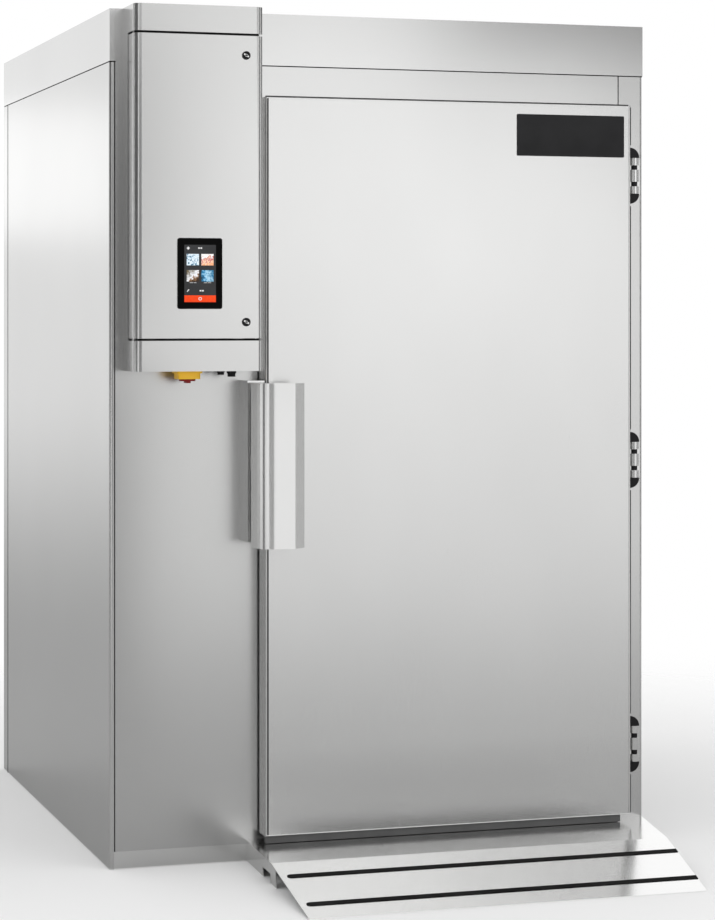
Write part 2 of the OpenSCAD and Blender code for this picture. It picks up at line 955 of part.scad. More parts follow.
// Folded cover that wraps both front corners, with a tab for each pivot pin
module box_cover() {
  color(steel)
    difference() {
      union() {
        translate([0, 0, cover_z0])
          linear_extrude(cover_h)
            difference() {
              box_front_plan(0, cover_rear);
              box_front_plan(sheet_t, cover_rear + eps);
            }
        for (z = [cover_z0, cover_top - sheet_t])
          translate([0, 0, z])
            linear_extrude(sheet_t)
              difference() {
                box_front_plan(0, cover_rear);
                translate([box_x0 + 30, box_face + 14]) square([box_w - 44, box_d]);
              }
      }
      for (z = [cover_z0, cover_top])
        translate([pivot[0], pivot[1], z - 10])
          cylinder(r = pivot_r + pin_fit, h = 20);
      upright_plate(
        glass_mid[0], box_face - eps, glass_mid[1],
        glass_size - [10, 10], 3, sheet_t + 2 * eps
      );
      for (z = lock_z)
        translate([lock_x, box_face - eps, z])
          rotate([-90, 0, 0])
            cylinder(r = lock_barrel_r + pin_fit, h = sheet_t + 2 * eps);
    }
}

module cover_pins() {
  l = cover_gap + 8;
  color(steel)
    for (z = [box_z + cap_h, cover_z1 - l])
      translate([pivot[0], pivot[1], z])
        cylinder(r = pivot_r, h = l);
}

module display_module() {
  color(black)
    upright_plate(glass_mid[0], box_face, glass_mid[1], glass_size - [11, 11], 3, 34);
}

module display_glass() {
  color(black)
    difference() {
      upright_plate(glass_mid[0], box_face - glass_t, glass_mid[1], glass_size, 6, glass_t);
      upright_plate(glass_mid[0], box_face - glass_t - eps, glass_mid[1], screen_size, 1, eps + 1);
    }
}

module display_screen() {
  color("steelblue")
    upright_plate(glass_mid[0], box_face - glass_t + 0.2, glass_mid[1], screen_size, 1, 0.8);
}

// Head with a recessed double bit, barrel and cam of one quarter-turn lock
// The cam points up when it is unlocked
module cover_lock(z) {
  head_t = 3;
  recess = 2;
  rim = 2.5;
  post_r = 3;
  bit_w = 3.5;
  bit_l = 2 * (lock_r - rim) - 3;
  color(steel)
    translate([lock_x, box_face, z]) {
      difference() {
        union() {
          rotate([90, 0, 0]) cylinder(r = lock_r, h = head_t);
          rotate([-90, 0, 0]) cylinder(r = lock_barrel_r, h = cam_y - box_face);
          span(
            [-lock_barrel_r + 2, cam_y - box_face - cam_t, 0],
            [lock_barrel_r - 2, cam_y - box_face, cam_l]
          );
        }
        rotate([90, 0, 0])
          translate([0, 0, head_t - recess])
            cylinder(r = lock_r - rim, h = recess + eps);
      }
      rotate([90, 30, 0]) {
        cylinder(r = post_r, h = head_t);
        translate([-bit_l / 2, -bit_w / 2, 0]) cube([bit_l, bit_w, head_t]);
      }
    }
}

module lock_upper() {
  cover_lock(lock_z[1]);
}

module lock_lower() {
  cover_lock(lock_z[0]);
}

module switch_base() {
  color("gold")
    translate([switch_x, switch_y, box_z])
      difference() {
        union() {
          translate([0, 0, -switch_h])
            linear_extrude(switch_h)
              rounded_rect([switch_w - 8, switch_w - 8], 8);
          translate([0, 0, -6])
            linear_extrude(6)
              rounded_rect([switch_w, switch_w], 6);
        }
        translate([0, 0, -switch_h - eps]) cylinder(r = 6 + pin_fit, h = 8 + eps);
      }
}

// Round knob with a raised grip bar and a short spindle
module switch_knob() {
  disc_h = 5;
  bar_h = 5;
  color("firebrick")
    translate([switch_x, switch_y, box_z - switch_h - run_gap]) {
      translate([0, 0, -disc_h]) cylinder(r = knob_r, h = disc_h);
      translate([0, 0, -eps]) cylinder(r = 6, h = 6 + eps);
      translate([0, 0, -disc_h - bar_h])
        linear_extrude(bar_h + eps)
          rounded_rect([12, 2 * knob_r - 6], 5);
    }
}

// Sockets under the box; each one's list holds its place, radius and length
module service_sockets() {
  color(black)
    for (s = sockets)
      translate([s[0], s[1], box_z]) {
        translate([0, 0, -s[3] * 0.45]) cylinder(r = s[2], h = s[3] * 0.45, $fn = 6);
        translate([0, 0, -s[3]]) cylinder(r = s[2] * 0.8, h = s[3] * 0.6);
        cylinder(r = s[2] * 0.6 - pin_fit, h = sheet_t + 8);
      }
}

module mounting_plate() {
  color("silver")
    span(
      [box_x0 + 24, plate_y - plate_t, cover_z0 + 10],
      [box_x1 - 24, plate_y, cover_top - 10]
    );
}

// Hat-section rails that the switchgear clips on
module mounting_rails() {
  h = 35;
  color("silver")
    for (z = rail_z)
      translate([0, rail_y, z])
        difference() {
          span([box_x0 + 40, 0, -h / 2], [box_x1 - 40, rail_d, h / 2]);
          span([box_x0 + 39, -eps, -h / 4], [box_x1 - 39, rail_d - 1.5, h / 4]);
          for (side = [-1, 1])
            span(
              [box_x0 + 39, 1.5, side * h / 2 - h / 8],
              [box_x1 - 39, rail_d + eps, side * h / 2 + h / 8]
            );
        }
}

module contactors() {
  n = 4;
  w = 45;
  pitch = (box_w - 100) / n;
  color(dark)
    for (i = [0 : n - 1])
      translate([box_x0 + 50 + (i + 0.5) * pitch, rail_y, rail_z[1]]) {
        span([-w / 2, -38, -40], [w / 2, 0, 40]);
        span([-w / 2 + 4, -54, -26], [w / 2 - 4, -38, 26]);
      }
}

module terminal_strip() {
  n = 16;
  w = (box_w - 110) / n;
  color("lightgray")
    for (i = [0 : n - 1])
      translate([box_x0 + 55 + i * w, rail_y, rail_z[0]]) {
        span([0, -22, -27], [w - 0.6, 0, 27]);
        span([0, -34, -16], [w - 0.6, -22, 16]);
      }
}

// Air unit

// Places something on a fan's axis, with +Z turned to +X
module at_fan(z, x) {
  translate([x, fan_y, z]) rotate([0, 90, 0]) children();
}

// Flat panel with the fan openings, on stays from the side wall
module fan_baffle() {
  stay_r = 8;
  color(steel) {
    difference() {
      span([baffle_x, baffle_y[0], baffle_z[0]], [baffle_x + sheet_t, baffle_y[1], baffle_z[1]]);
      for (z = fan_zs)
        at_fan(z, baffle_x - eps) cylinder(r = fan_r, h = sheet_t + 2 * eps);
    }
    for (y = [baffle_y[0] + 40, baffle_y[1] - 40])
      for (f = [0.04, 0.5, 0.96])
        translate([in_x0, y, baffle_z[0] + (baffle_z[1] - baffle_z[0]) * f])
          rotate([0, 90, 0])
            cylinder(r = stay_r, h = baffle_x - in_x0);
  }
}

// Flat bars across the fan openings, each one lapped over the baffle at both ends
module fan_guards() {
  pitch = 2 * fan_r / guard_n;
  reach = fan_r + guard_lap;
  color("silver")
    for (z = fan_zs)
      at_fan(z, baffle_x + sheet_t)
        for (i = [0 : guard_n - 1]) {
          off = (i + 0.5) * pitch - fan_r;
          half = sqrt(reach * reach - off * off);
          translate([-half, off - guard_size[0] / 2, 0])
            cube([2 * half, guard_size[0], guard_size[1]]);
        }
}

// Motor can, shaft and a four-armed carrier that stands on the baffle
module fan_motors() {
  arm = 10;
  leg_r = fan_r + 18;
  color(dark)
    for (z = fan_zs) {
      at_fan(z, motor_x) {
        cylinder(r = motor_r, h = motor_l);
        translate([0, 0, motor_l]) cylinder(r = shaft_r, h = hub_x - motor_x - motor_l + 26);
        for (a = [45 : 90 : 315])
          rotate([0, 0, a]) {
            translate([0, -arm / 2, 12]) cube([leg_r, arm, arm]);
            translate([leg_r - arm, -arm / 2, 12]) cube([arm, arm, baffle_x - motor_x - 12]);
          }
      }
    }
}

// Hub with pitched blades, cut to the sweep of the tips
module fan_rotor(i) {
  tip_r = fan_r - tip_gap;
  slab = hub_l / sin(blade_pitch);
  color(black)
    at_fan(fan_zs[i], hub_x)
      difference() {
        union() {
          cylinder(r = hub_r, h = hub_l);
          intersection() {
            ring(tip_r, hub_r - 6, hub_l);
            for (k = [0 : blade_n - 1])
              rotate([0, 0, k * 360 / blade_n])
                translate([0, 0, hub_l / 2])
                  rotate([90 - blade_pitch, 0, 0])
                    translate([0, -blade_t / 2, -slab])
                      cube([tip_r, blade_t, 2 * slab]);
          }
        }
        translate([0, 0, -eps]) cylinder(r = shaft_r + pin_fit, h = 30);
      }
}

module fan_rotor_1() {
  fan_rotor(0);
}

module fan_rotor_2() {
  fan_rotor(1);
}

module fan_rotor_3() {
  fan_rotor(2);
}

function pipe_place(i) = [coil_x + 50 + i * pipe_gap, coil_y[1] + 40];

// Finned block between end plates on wall feet, with its two pipes up through the roof
module cooling_coil() {
  end_t = 4;
  foot_h = 60;
  fin_y = (coil_y[1] - coil_y[0]) / fin_n;
  x1c = coil_x + coil_w;
  color("silver") {
    difference() {
      span([coil_x, coil_y[0], coil_z[0]], [x1c, coil_y[1], coil_z[1]]);
      for (i = [0 : fin_n - 1])
        span(
          [x1c - 12, coil_y[0] + (i + 0.3) * fin_y, coil_z[0] + 20],
          [x1c + eps, coil_y[0] + (i + 0.7) * fin_y, coil_z[1] - 20]
        );
    }
    for (y = [coil_y[0] - end_t, coil_y[1]])
      span([coil_x - 6, y, coil_z[0] - 10], [x1c + 6, y + end_t, coil_z[1] + 10]);
    for (y = [coil_y[0] + 60, coil_y[1] - 120])
      for (z = [coil_z[0] + 40, coil_z[1] - 100])
        span([in_x0, y, z], [coil_x + eps, y + foot_h, z + foot_h]);
  }
  color("peru")
    for (i = [0, 1]) {
      p = pipe_place(i);
      z = pipe_z;
      translate([p[0], coil_y[1], z])
        rotate([-90, 0, 0])
          cylinder(r = pipe_rs[i], h = p[1] - coil_y[1]);
      translate([p[0], p[1], z]) sphere(pipe_rs[i]);
      translate([p[0], p[1], z]) cylinder(r = pipe_rs[i], h = cabinet_h - z);
    }
}

// Hairpin heating tube clipped to the coil's face
module heater() {
  tube_r = 6;
  leg = 60;
  x = coil_x + coil_w + 6 + tube_r;
  z = heater_z;
  y = heater_y;
  color(dark) {
    for (s = [0, 1])
      translate([x, y + s * leg, z[0]]) cylinder(r = tube_r, h = z[1] - z[0]);
    translate([x, y + leg / 2, z[1]])
      rotate([90, 0, 90])
        rotate_extrude(angle = 180)
          translate([leg / 2, 0])
            circle(tube_r);
    for (f = [0, 0.5, 0.9])
      span(
        [coil_x + coil_w, y - 12, z[0] + (z[1] - z[0]) * f],
        [x, y + leg + 12, z[0] + (z[1] - z[0]) * f + 16]
      );
  }
}

// Upright steam tube with nozzles, standing on the floor by its flange
module steam_pipe() {
  x = coil_x + coil_w + 40;
  y = baffle_y[1] - 90;
  h = baffle_z[1] - floor_t;
  color(steel)
    translate([x, y, floor_t]) {
      cylinder(r = 3 * steam_r, h = 6);
      cylinder(r = steam_r, h = h);
      for (i = [1 : 6])
        translate([0, 0, h * i / 7])
          rotate([0, 90, 0])
            cylinder(r = 5, h = steam_r + 12);
    }
}

// Open tray; small holes over the drain pipe strain what runs off
module drip_tray() {
  t = sheet_t;
  color(steel)
    difference() {
      span([in_x0, tray_y[0], tray_z[0]], [tray_x1, tray_y[1], tray_z[1]]);
      span(
        [in_x0 + t, tray_y[0] + t, tray_z[0] + t],
        [tray_x1 - t, tray_y[1] - t, tray_z[1] + eps]
      );
      translate([drain_at[0], drain_at[1], tray_z[0] - eps]) {
        cylinder(r = strainer_r, h = t + 2 * eps);
        for (a = [0 : 60 : 300])
          rotate([0, 0, a])
            translate([strainer_off, 0, 0])
              cylinder(r = strainer_r, h = t + 2 * eps);
      }
    }
}

// Bent tube from the tray to the outside of the rear wall
module drain_pipe() {
  wall = 3;
  color("silver")
    difference() {
      drain_run(drain_r);
      drain_run(drain_r - wall);
    }
}

module drain_run(r) {
  open = r < drain_r ? eps : 0;
  y = drain_at[1] + drain_bend;
  z = drain_z + drain_bend;
  translate([drain_at[0], drain_at[1], z])
    cylinder(r = r, h = tray_z[0] - z + open);
  translate([drain_at[0], y, z])
    rotate([-90, 0, -90])
      rotate_extrude(angle = 90)
        translate([drain_bend, 0])
          circle(r);
  translate([drain_at[0], y, drain_z])
    rotate([-90, 0, 0])
      cylinder(r = r, h = y1 - y + open);
}

// Tubes that keep the trolley off the right and rear walls
module bumper_rails() {
  stand_r = 9;
  n = 3;
  side = bumper_side;
  back = bumper_back;
  color(steel)
    for (z = bumper_zs) {
      translate([in_x1 - bumper_off, side[0], z])
        rotate([-90, 0, 0])
          cylinder(r = bumper_r, h = side[1] - side[0]);
      translate([back[0], in_y1 - bumper_off, z])
        rotate([0, 90, 0])
          cylinder(r = bumper_r, h = back[1] - back[0]);
      for (i = [0 : n - 1]) {
        f = (i + 0.5) / n;
        translate([in_x1 - bumper_off, side[0] + (side[1] - side[0]) * f, z])
          rotate([0, 90, 0])
            cylinder(r = stand_r, h = bumper_off);
        translate([back[0] + (back[1] - back[0]) * f, in_y1 - bumper_off, z])
          rotate([-90, 0, 0])
            cylinder(r = stand_r, h = bumper_off);
      }
    }
}

floor_panel();
left_wall();
right_wall();
rear_wall();
roof_panel();
fascia();
front_left_panel();
kick_strip();
header_panel();
right_jamb();
sill();
ramp_plate();
ramp_ribs();
ramp_grips();
door_leaf();
door_skin();
door_liner();
door_gasket();
door_sweep();
door_plate();
hinge_frame_leaf(0);  // hinge_frame_leaf_1
hinge_frame_leaf(1);  // hinge_frame_leaf_2
hinge_frame_leaf(2);  // hinge_frame_leaf_3
hinge_door_leaf(0);  // hinge_door_leaf_1
hinge_door_leaf(1);  // hinge_door_leaf_2
hinge_door_leaf(2);  // hinge_door_leaf_3
hinge_pins();
hinge_caps();
handle_base();
handle_lever();
handle_pin();
strike();
box_housing();
box_cover();
cover_pins();
display_module();
display_glass();
display_screen();
lock_upper();
lock_lower();
switch_base();
switch_knob();
service_sockets();
mounting_plate();
mounting_rails();
contactors();
terminal_strip();
fan_baffle();
fan_guards();
fan_motors();
fan_rotor_1();
fan_rotor_2();
fan_rotor_3();
cooling_coil();
heater();
steam_pipe();
drip_tray();
drain_pipe();
bumper_rails();
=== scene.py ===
import math

import bmesh
import bpy
from mathutils import Matrix, Vector


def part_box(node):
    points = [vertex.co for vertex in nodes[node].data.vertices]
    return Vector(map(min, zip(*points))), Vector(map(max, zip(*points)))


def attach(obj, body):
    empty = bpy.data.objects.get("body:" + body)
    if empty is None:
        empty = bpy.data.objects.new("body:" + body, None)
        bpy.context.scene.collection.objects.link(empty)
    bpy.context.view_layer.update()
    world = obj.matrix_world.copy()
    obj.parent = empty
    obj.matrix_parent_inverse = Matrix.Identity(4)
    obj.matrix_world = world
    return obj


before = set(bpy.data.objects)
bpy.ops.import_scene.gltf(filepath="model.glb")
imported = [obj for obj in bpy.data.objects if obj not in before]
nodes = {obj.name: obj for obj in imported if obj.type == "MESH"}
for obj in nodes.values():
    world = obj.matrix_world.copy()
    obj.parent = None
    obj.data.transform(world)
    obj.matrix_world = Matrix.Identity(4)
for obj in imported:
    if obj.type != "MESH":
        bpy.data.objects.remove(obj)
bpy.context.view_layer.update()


# materials

grainLook = {
    "noiseMiddle": (0.3, 0.7),
    "bumpDepth": 0.0002,
    "cloudScale": (2.3, 2.3, 1.4),
    "driftScale": 14.0,
}


def newMaterial(name):
    mat = bpy.data.materials.new(name)
    mat.use_nodes = True
    tree = mat.node_tree
    tree.nodes.clear()
    out = tree.nodes.new("ShaderNodeOutputMaterial")
    bsdf = tree.nodes.new("ShaderNodeBsdfPrincipled")
    tree.links.new(bsdf.outputs["BSDF"], out.inputs["Surface"])
    return mat, tree, bsdf


def objectCoords(tree, scale):  # the same for all solids, because every one sits at the origin
    coords = tree.nodes.new("ShaderNodeTexCoord")
    mapping = tree.nodes.new("ShaderNodeMapping")
    mapping.inputs["Scale"].default_value = scale
    tree.links.new(coords.outputs["Object"], mapping.inputs["Vector"])
    return mapping.outputs["Vector"]


def noise(tree, scale, detail=3.0, rough=0.55):
    tex = tree.nodes.new("ShaderNodeTexNoise")
    tex.inputs["Scale"].default_value = 1.0
    tex.inputs["Detail"].default_value = detail
    tex.inputs["Roughness"].default_value = rough
    tree.links.new(objectCoords(tree, scale), tex.inputs["Vector"])
    return tex.outputs["Fac"]


def spread(tree, value, low, high):  # maps noise from its useful middle to low..high
    ramp = tree.nodes.new("ShaderNodeMapRange")
    ramp.inputs["From Min"].default_value, ramp.inputs["From Max"].default_value = grainLook["noiseMiddle"]
    ramp.inputs["To Min"].default_value = low
    ramp.inputs["To Max"].default_value = high
    tree.links.new(value, ramp.inputs["Value"])
    return ramp.outputs["Result"]


def colorRamp(tree, value, stops):
    ramp = tree.nodes.new("ShaderNodeValToRGB")
    marks = ramp.color_ramp.elements
    while len(marks) < len(stops):
        marks.new(0.5)
    for mark, (place, color) in zip(marks, stops):
        mark.position = place
        mark.color = (*color, 1)
    tree.links.new(value, ramp.inputs["Fac"])
    return ramp.outputs["Color"]


def tintBetween(tree, value, colorA, colorB):
    return colorRamp(tree, value, list(zip(grainLook["noiseMiddle"], (colorA, colorB))))


def addBump(tree, bsdf, value, strength):
    bump = tree.nodes.new("ShaderNodeBump")
    bump.inputs["Strength"].default_value = strength
    bump.inputs["Distance"].default_value = grainLook["bumpDepth"]
    tree.links.new(value, bump.inputs["Height"])
    tree.links.new(bump.outputs["Normal"], bsdf.inputs["Normal"])


def shade(color, factor):
    return tuple(c * factor for c in color)


# ground steel: long fine scratches along one axis, and slow clouds of wiping marks
def groundSteel(name, color, grain, rough, cloud=0.02, bump=0.004):
    mat, tree, bsdf = newMaterial(name)
    bsdf.inputs["Metallic"].default_value = 1.0
    scratches = noise(tree, grain, 4.0, 0.7)
    clouds = noise(tree, grainLook["cloudScale"], 2.0)
    tree.links.new(tintBetween(tree, clouds, shade(color, 1 - cloud), shade(color, 1 + cloud)),
                   bsdf.inputs["Base Color"])
    tree.links.new(spread(tree, scratches, *rough), bsdf.inputs["Roughness"])
    addBump(tree, bsdf, scratches, bump)
    return mat


# moulded plastic or rubber: fine pebble grain and a little colour drift
def moulded(name, color, rough, grainScale=900.0, bump=0.15, drift=0.12, gloss=0.5):
    mat, tree, bsdf = newMaterial(name)
    bsdf.inputs["Specular IOR Level"].default_value = gloss
    grain = noise(tree, (grainScale,) * 3, 2.0)
    slow = noise(tree, (grainLook["driftScale"],) * 3, 2.0)
    tree.links.new(tintBetween(tree, slow, shade(color, 1 - drift), shade(color, 1 + drift)),
                   bsdf.inputs["Base Color"])
    tree.links.new(spread(tree, grain, *rough), bsdf.inputs["Roughness"])
    addBump(tree, bsdf, grain, bump)
    return mat


# one ground steel in lit and shaded copies: the tones of wall, box, fascia, header, door, handle and ramp are
# painted light, each set lighter or darker to the brightness that panel shows
steel = {
    "wall": (0.62, 0.62, 0.615),
    "box": (0.65, 0.65, 0.645),
    "fascia": (0.66, 0.66, 0.656),
    "header": (0.63, 0.63, 0.626),
    "door": (0.71, 0.71, 0.705),
    "bright": (0.70, 0.70, 0.695),
    "handle": (0.80, 0.80, 0.795),
    "ramp": (0.95, 0.95, 0.945),
    "upGrain": (2600.0, 2600.0, 14.0),
    "acrossGrain": (14.0, 2600.0, 2600.0),
    "rampGrain": (20.0, 1500.0, 1500.0),
    "pinGrain": (60.0, 60.0, 700.0),
    "zinc": (0.62, 0.63, 0.65),
    "zincGrain": (90.0, 90.0, 90.0),
    "fin": (0.74, 0.75, 0.76),
    "finGrain": (40.0, 700.0, 40.0),
}

mats = {
    "wallSteel": groundSteel("wallSteel", steel["wall"], steel["upGrain"], (0.23, 0.27)),
    "doorSteel": groundSteel("doorSteel", steel["door"], steel["upGrain"], (0.24, 0.28)),
    "fasciaSteel": groundSteel("fasciaSteel", steel["fascia"], steel["acrossGrain"], (0.17, 0.21)),
    "headerSteel": groundSteel("headerSteel", steel["header"], steel["acrossGrain"], (0.17, 0.21)),
    "boxSteel": groundSteel("boxSteel", steel["box"], steel["upGrain"], (0.20, 0.24)),
    "handleSteel": groundSteel("handleSteel", steel["handle"], steel["upGrain"], (0.17, 0.22)),
    "rampSteel": groundSteel("rampSteel", steel["ramp"], steel["rampGrain"], (0.14, 0.20)),
    "pinSteel": groundSteel("pinSteel", steel["bright"], steel["pinGrain"], (0.12, 0.22)),
    "zincSteel": groundSteel("zincSteel", steel["zinc"], steel["zincGrain"], (0.30, 0.48), cloud=0.10),
    "finMetal": groundSteel("finMetal", steel["fin"], steel["finGrain"], (0.30, 0.45), cloud=0.06),
    "sealRubber": moulded("sealRubber", (0.024, 0.024, 0.025), (0.55, 0.75), 700.0, gloss=0.25),
    "sweepRubber": moulded("sweepRubber", (0.10, 0.10, 0.10), (0.45, 0.60), 700.0, gloss=0.3),
    "seamMasticAndShade": moulded("seamMasticAndShade", (0.010, 0.010, 0.010), (0.65, 0.80), 700.0, gloss=0.1),
    "gripGrit": moulded("gripGrit", (0.012, 0.012, 0.012), (0.75, 0.95), 1500.0, bump=0.9, drift=0.35,
                        gloss=0.1),
    "hingePlastic": moulded("hingePlastic", (0.010, 0.010, 0.011), (0.34, 0.50), gloss=0.15),
    "greyPlastic": moulded("greyPlastic", (0.20, 0.21, 0.22), (0.40, 0.55)),
    "palePlastic": moulded("palePlastic", (0.42, 0.43, 0.43), (0.40, 0.55)),
    "motorPaint": moulded("motorPaint", (0.05, 0.052, 0.056), (0.35, 0.50), 400.0),
    "fanPlastic": moulded("fanPlastic", (0.03, 0.03, 0.032), (0.38, 0.52)),
    "platePaint": moulded("platePaint", (0.020, 0.020, 0.021), (0.55, 0.65), 500.0, bump=0.05, gloss=0.12),
    "switchYellow": moulded("switchYellow", (0.86, 0.50, 0.012), (0.30, 0.42), 600.0, bump=0.06,
                            drift=0.05),
    "switchRed": moulded("switchRed", (0.20, 0.008, 0.006), (0.28, 0.40), 600.0, bump=0.06, gloss=0.25),
    "displayBlack": moulded("displayBlack", (0.003, 0.003, 0.003), (0.05, 0.09), 300.0, bump=0.0,
                            gloss=0.02),
    "screenGrey": moulded("screenGrey", (0.040, 0.041, 0.043), (0.12, 0.18), 300.0, bump=0.0, gloss=0.1),
}
print("materials:", len(mats))

# which finish each solid gets; everything else is wall steel
finishes = {
    "doorSteel": ["door_leaf", "door_skin"],
    "fasciaSteel": ["fascia", "roof_panel"],
    "headerSteel": ["header_panel", "sill"],
    "boxSteel": ["box_housing", "box_cover"],
    # painted light: the kick strip takes the bright handle steel so that it reads lighter
    "handleSteel": ["handle_lever", "handle_base", "strike", "kick_strip"],
    "rampSteel": ["ramp_plate", "ramp_ribs"],
    "pinSteel": ["hinge_pins", "handle_pin", "cover_pins"],
    "zincSteel": ["mounting_plate", "mounting_rails", "fan_guards", "heater", "drain_pipe"],
    "finMetal": ["cooling_coil"],
    "sealRubber": ["door_gasket"],
    "sweepRubber": ["door_sweep"],
    "gripGrit": ["ramp_grips"],
    "hingePlastic": ["hinge_caps", "service_sockets", "display_module", "lock_upper", "lock_lower"],
    "greyPlastic": ["contactors"],
    "palePlastic": ["terminal_strip"],
    "motorPaint": ["fan_motors"],
    "fanPlastic": ["fan_rotor_1", "fan_rotor_2", "fan_rotor_3"],
    "platePaint": ["door_plate"],
    "switchYellow": ["switch_base"],
    "switchRed": ["switch_knob"],
    "displayBlack": ["display_glass"],
    "screenGrey": ["display_screen"],
}
finishOf = {node: finish for finish, names in finishes.items() for node in names}
hinges = (1, 2, 3)
for hinge in hinges:
    finishOf["hinge_frame_leaf_%d" % hinge] = "pinSteel"
    finishOf["hinge_door_leaf_%d" % hinge] = "pinSteel"

# folded edges catch a thin line of light
edges = {
    "soft": 0.0012,
    "fine": 0.0005,
    "segments": 2,
    "fromAngle": 40.0,
    "softNodes": ["fascia", "header_panel", "front_left_panel", "door_skin", "roof_panel", "right_jamb",
                  "sill", "kick_strip", "rear_wall", "ramp_plate"],
    "fineNodes": ["door_leaf", "box_cover", "box_housing", "handle_lever", "strike", "handle_base",
                  "door_plate", "display_glass", "switch_base", "switch_knob", "lock_upper", "lock_lower"],
}


def softenEdges(obj, width):
    bevel = obj.modifiers.new("foldedEdge", "BEVEL")
    bevel.width = width
    bevel.segments = edges["segments"]
    bevel.limit_method = "ANGLE"
    bevel.angle_limit = math.radians(edges["fromAngle"])
    bevel.harden_normals = True


for name, obj in nodes.items():
    obj.data.materials.clear()
    obj.data.materials.append(mats[finishOf.get(name, "wallSteel")])
    if name in edges["softNodes"]:
        softenEdges(obj, edges["soft"])
    elif name in edges["fineNodes"]:
        softenEdges(obj, edges["fine"])
print("solids dressed")


# pieces

def meshObject(name, bm, mat, body):
    mesh = bpy.data.meshes.new(name)
    bm.to_mesh(mesh)
    bm.free()
    obj = bpy.data.objects.new(name, mesh)
    bpy.context.collection.objects.link(obj)
    mesh.materials.append(mat)
    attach(obj, body)


def bar(bm, low, high):
    made = bmesh.ops.create_cube(bm, size=1.0)
    bmesh.ops.scale(bm, vec=[b - a for a, b in zip(low, high)], verts=made["verts"])
    bmesh.ops.translate(bm, vec=[(a + b) / 2 for a, b in zip(low, high)], verts=made["verts"])


# seams: dark mastic in the grooves between the panels, and a thin bead over each joint of the rear wall; the
# fill is near-black as painted shade for the shadow lines along the joints
seamLook = {
    "wide": 0.003,
    "air": 0.0002,
    "near": 0.001,
    "far": 0.0058,
    "rearHalf": 0.0045,
    "coverBelow": 0.0058,
    "coverAbove": 0.0015,
    "coverHigh": 0.0042,
    "coverEnds": 0.012,
    "coverIn": (0.008, 0.020),
}
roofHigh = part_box("roof_panel")[1]
fasciaLow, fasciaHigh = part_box("fascia")
panelLow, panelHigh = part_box("front_left_panel")
headerLow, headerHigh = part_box("header_panel")
near, far, wide, air = seamLook["near"], seamLook["far"], seamLook["wide"], seamLook["air"]
x0, x1, y0, y1 = fasciaLow[0], fasciaHigh[0], fasciaLow[1], roofHigh[1]
z0, z1 = fasciaLow[2] - wide + air, fasciaLow[2] - air
bm = bmesh.new()
bar(bm, (x0 + near, y0 + near, z0), (x1 - near, y0 + far, z1))
bar(bm, (x0 + near, y1 - far, z0), (x1 - near, y1 - near, z1))
bar(bm, (x0 + near, y0 + far, z0), (x0 + far, y1 - far, z1))
bar(bm, (x1 - far, y0 + far, z0), (x1 - near, y1 - far, z1))
meshObject("seamRoof", bm, mats["seamMasticAndShade"], "cabinet")
bm = bmesh.new()
bar(bm, (panelLow[0] + air, y0 + near, panelLow[2]), (panelLow[0] + wide - air, y0 + far, panelHigh[2]))
bar(bm, (headerHigh[0] - wide + air, y0 + near, headerLow[2]), (headerHigh[0] - air, y0 + far, headerHigh[2]))
meshObject("seamFront", bm, mats["seamMasticAndShade"], "cabinet")
rearLow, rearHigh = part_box("rear_wall")
bm = bmesh.new()
for x in (x0, x1):
    bar(bm, (x - air, rearLow[1] - seamLook["rearHalf"], rearLow[2]),
        (x + air, rearLow[1] + seamLook["rearHalf"], rearHigh[2]))
meshObject("seamRear", bm, mats["seamMasticAndShade"], "cabinet")
# painted shadow: dark bars in the gaps above and below the box cover
coverLow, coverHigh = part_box("box_cover")
bm = bmesh.new()
coverNear, coverFar = [coverLow[1] + depth for depth in seamLook["coverIn"]]
for z in (coverLow[2] - seamLook["coverBelow"], coverHigh[2] + seamLook["coverAbove"]):
    bar(bm, (coverLow[0] + seamLook["coverEnds"], coverNear, z),
        (coverHigh[0] - seamLook["coverEnds"], coverFar, z + seamLook["coverHigh"]))
meshObject("seamBox", bm, mats["seamMasticAndShade"], "cabinet")

# door: dark bars on top and on the hinge side are painted shadow in the slot between the door and the frame,
# and a dark joint runs down the other edge
lipLook = {
    "wide": 0.0042,
    "high": 0.0030,
    "deep": (0.008, 0.020),
    "ends": 0.004,
    "hingeHalf": 0.084,
    "joint": (0.0040, 0.0078),
}
leafLow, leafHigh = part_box("door_leaf")
lipNear, lipFar = [leafLow[1] + depth for depth in lipLook["deep"]]
lipLeft, lipRight = leafLow[0] + lipLook["ends"], leafHigh[0] - lipLook["ends"]
lipBottom, lipTop = leafLow[2] + lipLook["ends"], leafHigh[2] - lipLook["ends"]
jointLeft, jointRight = [leafLow[0] + inset for inset in lipLook["joint"]]
hingeBoxes = [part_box("hinge_door_leaf_%d" % hinge) for hinge in hinges]
hingeMiddles = sorted((low[2] + high[2]) / 2 for low, high in hingeBoxes)
lipStarts = [lipBottom] + [z + lipLook["hingeHalf"] for z in hingeMiddles]
lipStops = [z - lipLook["hingeHalf"] for z in hingeMiddles] + [lipTop]
bm = bmesh.new()
# painted shadow: dark bars in the slot on the hinge side between the hinges, and along the top of the door
for lipStart, lipStop in zip(lipStarts, lipStops):
    bar(bm, (leafHigh[0], lipNear, lipStart), (leafHigh[0] + lipLook["wide"], lipFar, lipStop))
bar(bm, (lipLeft, lipNear, leafHigh[2]), (lipRight, lipFar, leafHigh[2] + lipLook["high"]))
bar(bm, (jointLeft, leafLow[1] - air, lipBottom), (jointRight, leafLow[1] + near, lipTop))
meshObject("doorSlotShadeAndJoint", bm, mats["seamMasticAndShade"], "door")
print("seams dressed")

